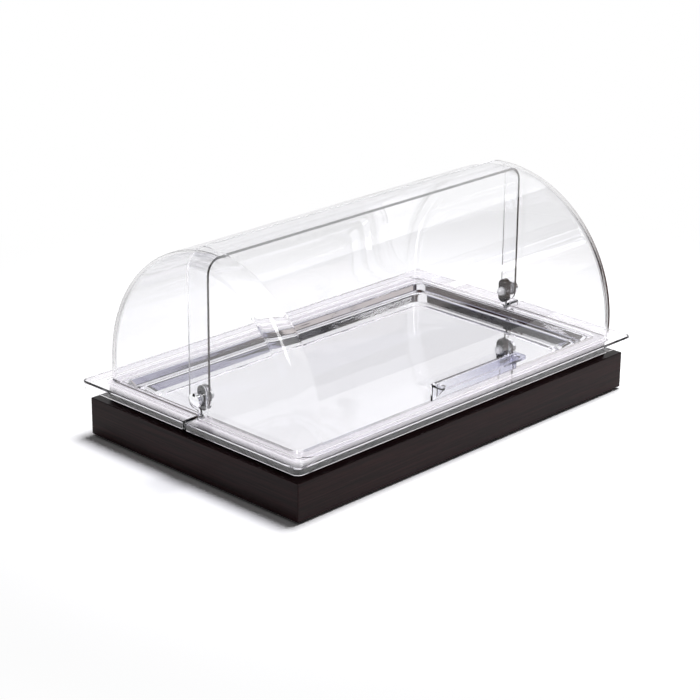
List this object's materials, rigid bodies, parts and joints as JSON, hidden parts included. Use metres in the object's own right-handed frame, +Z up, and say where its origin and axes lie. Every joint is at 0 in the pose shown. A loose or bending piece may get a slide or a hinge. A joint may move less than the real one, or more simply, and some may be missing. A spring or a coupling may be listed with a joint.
{
  "type": "roll-top buffet display",
  "caption": "Clear roll-top display case with a polished steel tray in a dark wood base; the front half of the cover rolls back over the rear half.",
  "frame": {"origin": "centre of the whole footprint, on the surface that the feet stand on", "axes": "+X along the long side, +Z up, and the serving side with the grip faces -Y"},
  "size_m": [0.572, 0.3676, 0.2612],
  "materials": {
    "dark_wood": "satin lacquered dark brown",
    "plywood": "plain sanded",
    "zinc_steel": "bright zinc plated",
    "rubber": "matt black",
    "polished_steel": "mirror polished",
    "clear_plastic": "clear, polished",
    "chrome": "polished",
    "clear_washer": "clear, smooth"
  },
  "bodies": {
    "base": {"front_board": "dark_wood", "rear_board": "dark_wood", "left_board": "dark_wood", "right_board": "dark_wood", "bottom_panel": "plywood", "corner_blocks": "plywood", "corner_screws": "zinc_steel", "panel_screws": "zinc_steel", "foot_screws": "zinc_steel", "front_left_foot": "rubber", "front_right_foot": "rubber", "rear_left_foot": "rubber", "rear_right_foot": "rubber"},
    "tray": {"steel_tray": "polished_steel"},
    "rear_cover": {"rear_cover": "clear_plastic", "left_pivot_block": "clear_plastic", "left_pivot_pin": "chrome", "left_cap_nut": "chrome", "left_nut_washer": "clear_washer", "left_spacer_bush": "clear_washer", "left_bearing_washer": "clear_washer", "right_pivot_block": "clear_plastic", "right_pivot_pin": "chrome", "right_cap_nut": "chrome", "right_nut_washer": "clear_washer", "right_spacer_bush": "clear_washer", "right_bearing_washer": "clear_washer"},
    "front_cover": {"front_cover": "clear_plastic", "front_grip": "clear_plastic"}
  },
  "joints": [
    {"name": "tray_lift_out", "type": "slide", "parent": "base", "child": "tray", "axis": [0, 0, 1], "range_m": [0, 0.06]},
    {"name": "cover_lift_off", "type": "slide", "parent": "tray", "child": "rear_cover", "axis": [0, 0, 1], "range_m": [0, 0.1]},
    {"name": "front_cover_roll", "type": "hinge", "parent": "rear_cover", "child": "front_cover", "pos_m": [0, 0.00575, 0.0912], "axis": [-1, 0, 0], "range_deg": [0, 90]}
  ]
}
